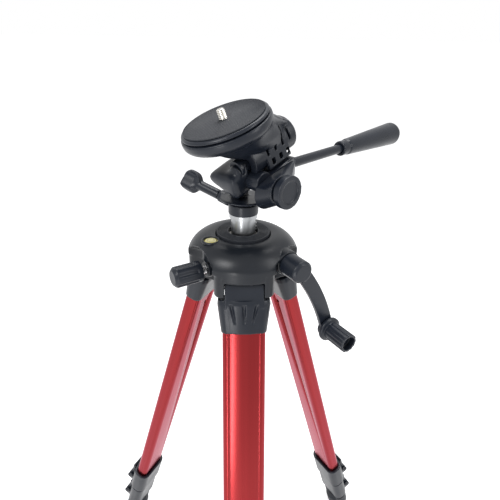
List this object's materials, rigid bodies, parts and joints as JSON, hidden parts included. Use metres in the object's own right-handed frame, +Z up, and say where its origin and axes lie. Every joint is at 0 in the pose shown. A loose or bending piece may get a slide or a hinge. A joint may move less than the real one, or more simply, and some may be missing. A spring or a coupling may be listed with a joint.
{
  "type": "star tracker mount",
  "caption": "Tripod with a three-way pan, tilt and flip head on a crank-raised geared column, for a camera or star tracker; round screw plate on top, telescoping flip-lock legs.",
  "frame": {"origin": "on the floor, on the centre column's axis, legs spread", "axes": "+Z up along the centre column; the front leg points along -Y, the other two at 120 degrees; +X to the right seen from the front leg"},
  "size_m": [0.326, 0.3122, 0.5742],
  "materials": {
    "black_plastic": "satin moulded black plastic",
    "crown_plastic": "satin moulded black plastic, smooth dome",
    "red_anodised": "deep red anodised drawn tube",
    "silver_tube": "satin silver anodised",
    "rubber": "black ribbed rubber",
    "steel": "bright steel",
    "chrome": "plated bright",
    "vial": "yellow-green spirit level",
    "bush": "natural acetal"
  },
  "bodies": {
    "crown": {"crown_casting": "crown_plastic", "crown_rubber_ring": "rubber", "bubble_level_vial": "vial", "leg_hinge_pins": "steel", "column_guide_liner": "bush", "crank_shaft_bush": "bush", "column_lock_pad": "bush"},
    "column": {"column_tube": "silver_tube", "column_rack": "silver_tube", "column_collar": "silver_tube", "column_end_cap": "black_plastic", "head_base_ring": "black_plastic"},
    "crank": {"pinion_shaft": "steel", "crank_arm": "black_plastic"},
    "crank_knob": {"crank_knob": "black_plastic"},
    "column_lock": {"column_lock_knob": "black_plastic", "column_lock_screw": "steel"},
    "pan_stage": {"pan_housing": "black_plastic"},
    "pan_lock": {"pan_lock_screw": "steel", "pan_lock_wing": "black_plastic"},
    "tilt_stage": {"tilt_saddle": "black_plastic", "tilt_side_cover": "black_plastic", "tilt_axle": "steel", "flip_shaft": "black_plastic", "friction_knob_stud": "steel"},
    "tilt_knob": {"tilt_friction_knob": "black_plastic"},
    "pan_handle": {"pan_handle_rod": "black_plastic", "pan_handle_grip": "black_plastic"},
    "platform": {"platform_shell": "black_plastic"},
    "release_tab": {"plate_release_tab": "black_plastic"},
    "quick_plate": {"quick_plate": "black_plastic", "plate_rubber_pad": "rubber"},
    "camera_screw": {"camera_screw": "chrome"},
    "front_leg": {"front_leg_fitting": "black_plastic", "front_leg_upper_tube": "red_anodised", "front_leg_upper_clamp": "black_plastic"},
    "front_leg_upper_lock": {"front_leg_upper_lever": "black_plastic"},
    "front_leg_middle": {"front_leg_middle_tube": "silver_tube", "front_leg_lower_clamp": "black_plastic"},
    "front_leg_lower_lock": {"front_leg_lower_lever": "black_plastic"},
    "front_leg_lower": {"front_leg_lower_tube": "silver_tube", "front_leg_foot": "rubber"},
    "right_leg": {"right_leg_fitting": "black_plastic", "right_leg_upper_tube": "red_anodised", "right_leg_upper_clamp": "black_plastic"},
    "right_leg_upper_lock": {"right_leg_upper_lever": "black_plastic"},
    "right_leg_middle": {"right_leg_middle_tube": "silver_tube", "right_leg_lower_clamp": "black_plastic"},
    "right_leg_lower_lock": {"right_leg_lower_lever": "black_plastic"},
    "right_leg_lower": {"right_leg_lower_tube": "silver_tube", "right_leg_foot": "rubber"},
    "left_leg": {"left_leg_fitting": "black_plastic", "left_leg_upper_tube": "red_anodised", "left_leg_upper_clamp": "black_plastic"},
    "left_leg_upper_lock": {"left_leg_upper_lever": "black_plastic"},
    "left_leg_middle": {"left_leg_middle_tube": "silver_tube", "left_leg_lower_clamp": "black_plastic"},
    "left_leg_lower_lock": {"left_leg_lower_lever": "black_plastic"},
    "left_leg_lower": {"left_leg_lower_tube": "silver_tube", "left_leg_foot": "rubber"}
  },
  "joints": [
    {"name": "front_leg_spread", "type": "hinge", "parent": "crown", "child": "front_leg", "pos_m": [0, -0.0337, 0.43342], "axis": [-1, 0, 0], "range_deg": [-17.4, 0]},
    {"name": "front_leg_middle_slide", "type": "slide", "parent": "front_leg", "child": "front_leg_middle", "axis": [0, -0.299, -0.9542], "range_m": [0, 0.301]},
    {"name": "front_leg_lower_slide", "type": "slide", "parent": "front_leg_middle", "child": "front_leg_lower", "axis": [0, -0.299, -0.9542], "range_m": [0, 0.32]},
    {"name": "front_leg_upper_lock_flip", "type": "hinge", "parent": "front_leg", "child": "front_leg_upper_lock", "pos_m": [0, -0.16044, 0.08015], "axis": [1, 0, 0], "range_deg": [0, 110]},
    {"name": "front_leg_lower_lock_flip", "type": "hinge", "parent": "front_leg_middle", "child": "front_leg_lower_lock", "pos_m": [0, -0.17033, 0.04343], "axis": [1, 0, 0], "range_deg": [0, 110]},
    {"name": "right_leg_spread", "type": "hinge", "parent": "crown", "child": "right_leg", "pos_m": [0.02918, 0.01685, 0.43342], "axis": [0.5, -0.866, 0], "range_deg": [-17.4, 0]},
    {"name": "right_leg_middle_slide", "type": "slide", "parent": "right_leg", "child": "right_leg_middle", "axis": [0.259, 0.1495, -0.9542], "range_m": [0, 0.301]},
    {"name": "right_leg_lower_slide", "type": "slide", "parent": "right_leg_middle", "child": "right_leg_lower", "axis": [0.259, 0.1495, -0.9542], "range_m": [0, 0.32]},
    {"name": "right_leg_upper_lock_flip", "type": "hinge", "parent": "right_leg", "child": "right_leg_upper_lock", "pos_m": [0.13895, 0.08022, 0.08015], "axis": [-0.5, 0.866, 0], "range_deg": [0, 110]},
    {"name": "right_leg_lower_lock_flip", "type": "hinge", "parent": "right_leg_middle", "child": "right_leg_lower_lock", "pos_m": [0.1475, 0.08516, 0.04343], "axis": [-0.5, 0.866, 0], "range_deg": [0, 110]},
    {"name": "left_leg_spread", "type": "hinge", "parent": "crown", "child": "left_leg", "pos_m": [-0.02918, 0.01685, 0.43342], "axis": [0.5, 0.866, 0], "range_deg": [-17.4, 0]},
    {"name": "left_leg_middle_slide", "type": "slide", "parent": "left_leg", "child": "left_leg_middle", "axis": [-0.259, 0.1495, -0.9542], "range_m": [0, 0.301]},
    {"name": "left_leg_lower_slide", "type": "slide", "parent": "left_leg_middle", "child": "left_leg_lower", "axis": [-0.259, 0.1495, -0.9542], "range_m": [0, 0.32]},
    {"name": "left_leg_upper_lock_flip", "type": "hinge", "parent": "left_leg", "child": "left_leg_upper_lock", "pos_m": [-0.13895, 0.08022, 0.08015], "axis": [-0.5, -0.866, 0], "range_deg": [0, 110]},
    {"name": "left_leg_lower_lock_flip", "type": "hinge", "parent": "left_leg_middle", "child": "left_leg_lower_lock", "pos_m": [-0.1475, 0.08516, 0.04343], "axis": [-0.5, -0.866, 0], "range_deg": [0, 110]},
    {"name": "column_lift", "type": "slide", "parent": "crown", "child": "column", "axis": [0, 0, 1], "range_m": [-0.0162, 0.2396]},
    {"name": "crank_turn", "type": "hinge", "parent": "crown", "child": "crank", "pos_m": [0.01412, 0.00815, 0.45182], "axis": [0.5, -0.866, 0], "range_deg": [-2747, 187]},
    {"name": "crank_knob_spin", "type": "hinge", "parent": "crank", "child": "crank_knob", "pos_m": [0.07761, -0.03487, 0.38751], "axis": [0.5, -0.866, 0], "continuous": true},
    {"name": "column_lock_turn", "type": "hinge", "parent": "crown", "child": "column_lock", "pos_m": [0, 0, 0.44082], "axis": [-0.866, -0.5, 0], "range_deg": [0, 360]},
    {"name": "pan_turn", "type": "hinge", "parent": "column", "child": "pan_stage", "pos_m": [0, 0, 0.51542], "axis": [0, 0, 1], "continuous": true},
    {"name": "pan_lock_turn", "type": "hinge", "parent": "pan_stage", "child": "pan_lock", "pos_m": [0, 0, 0.48922], "axis": [-0.8138, 0.5285, 0.2419], "range_deg": [0, 180]},
    {"name": "platform_tilt", "type": "hinge", "parent": "pan_stage", "child": "tilt_stage", "pos_m": [0, 0, 0.51542], "axis": [0.6691, -0.7431, 0], "range_deg": [-36, 4]},
    {"name": "tilt_knob_turn", "type": "hinge", "parent": "tilt_stage", "child": "tilt_knob", "pos_m": [0.0273, -0.02925, 0.51355], "axis": [0.6691, -0.7431, 0], "range_deg": [0, 180]},
    {"name": "handle_twist", "type": "hinge", "parent": "tilt_stage", "child": "pan_handle", "pos_m": [0.0106, -0.01198, 0.52141], "axis": [0.743, 0.669, 0.0227], "range_deg": [0, 180]},
    {"name": "platform_flip", "type": "hinge", "parent": "tilt_stage", "child": "platform", "pos_m": [-0.00012, -0.00683, 0.52755], "axis": [-0.6938, -0.6247, -0.3584], "range_deg": [-6, 47]},
    {"name": "release_tab_slide", "type": "slide", "parent": "platform", "child": "release_tab", "axis": [0.1865, 0.9545, 0.2326], "range_m": [0, 0.0025], "stiffness_N_per_m": 400},
    {"name": "quick_plate_lift", "type": "slide", "parent": "platform", "child": "quick_plate", "axis": [-0.3348, -0.1608, 0.9285], "range_m": [0, 0.012]},
    {"name": "camera_screw_spin", "type": "hinge", "parent": "quick_plate", "child": "camera_screw", "pos_m": [-0.01596, -0.00909, 0.56216], "axis": [-0.3348, -0.1608, 0.9285], "continuous": true}
  ],
  "couplings": [
    {"joint": "crank_turn", "follows": "column_lift", "rad_per_m": -200}
  ]
}
